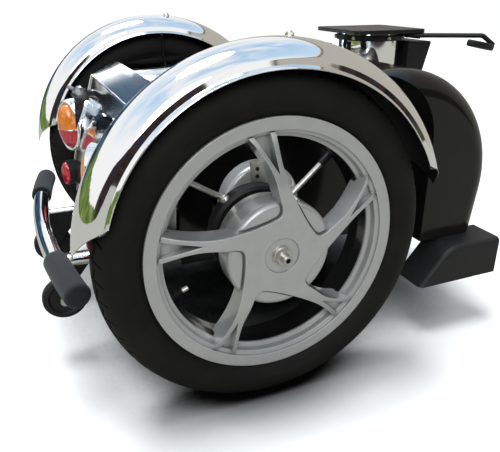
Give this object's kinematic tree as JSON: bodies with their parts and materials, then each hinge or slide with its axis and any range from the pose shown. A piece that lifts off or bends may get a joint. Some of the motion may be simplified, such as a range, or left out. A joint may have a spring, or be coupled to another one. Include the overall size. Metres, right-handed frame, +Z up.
{
  "type": "rear drive section of a three-wheel electric scooter",
  "caption": "Rear drive section of a three-wheel electric scooter: cast wheels, chrome mudguards and tail, black body shell, swivel seat support and bumper with anti-tip wheels.",
  "frame": {"origin": "middle of the front flange's bolting face, where this rear section bolts to the front of the vehicle", "axes": "+X to the front of the vehicle and out of the flange, +Y to the vehicle's left, +Z up"},
  "size_m": [1.0155, 0.8746, 0.6137],
  "materials": {
    "amber_lens": "clear amber lens",
    "black_frame": "black powder coat",
    "cast_silver": "silver-painted cast aluminium, fine satin",
    "chrome": "bright chrome plating",
    "foam_black": "closed-cell foam sleeve",
    "gloss_black_shell": "gloss black moulded plastic",
    "matte_black_plastic": "matt black plastic",
    "red_lens": "clear red lens",
    "tyre_rubber": "moulded black rubber, matt sidewalls, blocked tread",
    "zinc_steel": "bright zinc plated steel"
  },
  "bodies": {
    "chassis": {"amber_lenses": "amber_lens", "antitip_bolts": "zinc_steel", "antitip_brackets": "black_frame", "axle_brackets": "black_frame", "axle_tubes": "black_frame", "battery_pack": "matte_black_plastic", "battery_tray": "black_frame", "body_shell": "gloss_black_shell", "brake_housings": "cast_silver", "brake_plates": "black_frame", "bumper_arms": "chrome", "bumper_sleeves": "foam_black", "bumper_tube": "chrome", "differential_housing": "cast_silver", "drive_motor": "black_frame", "floor_crossbar": "black_frame", "frame_rail_left": "black_frame", "frame_rail_right": "black_frame", "front_flange": "black_frame", "lamp_housings": "chrome", "mudguard_left": "chrome", "mudguard_right": "chrome", "mudguard_stays": "zinc_steel", "rear_crossmember": "black_frame", "rear_deck": "chrome", "red_lenses": "red_lens", "reflector_brackets": "matte_black_plastic", "reflectors": "red_lens", "seat_block": "matte_black_plastic", "seat_crossmember": "black_frame", "seat_pin": "chrome", "seat_post": "chrome", "sill_left": "matte_black_plastic", "sill_right": "matte_black_plastic", "tail_cover": "chrome"},
    "right_wheel": {"tyre_right": "tyre_rubber", "wheel_right": "cast_silver", "axle_shaft_right": "zinc_steel"},
    "left_wheel": {"tyre_left": "tyre_rubber", "wheel_left": "cast_silver", "axle_shaft_left": "zinc_steel"},
    "right_antitip": {"antitip_wheel_right": "matte_black_plastic"},
    "left_antitip": {"antitip_wheel_left": "matte_black_plastic"},
    "seat": {"seat_plate": "black_frame", "seat_lever": "black_frame"}
  },
  "joints": [
    {"name": "right_wheel_spin", "type": "hinge", "parent": "chassis", "child": "right_wheel", "pos_m": [-0.52, -0.3628, 0.084], "axis": [0, 1, 0], "continuous": true},
    {"name": "left_wheel_spin", "type": "hinge", "parent": "chassis", "child": "left_wheel", "pos_m": [-0.52, 0.3628, 0.084], "axis": [0, 1, 0], "continuous": true},
    {"name": "right_antitip_spin", "type": "hinge", "parent": "chassis", "child": "right_antitip", "pos_m": [-0.841, -0.1327, -0.073], "axis": [0, 1, 0], "continuous": true},
    {"name": "left_antitip_spin", "type": "hinge", "parent": "chassis", "child": "left_antitip", "pos_m": [-0.841, 0.1327, -0.073], "axis": [0, 1, 0], "continuous": true},
    {"name": "seat_swivel", "type": "hinge", "parent": "chassis", "child": "seat", "pos_m": [-0.104, 0, 0.382], "axis": [0, 0, 1], "continuous": true}
  ]
}
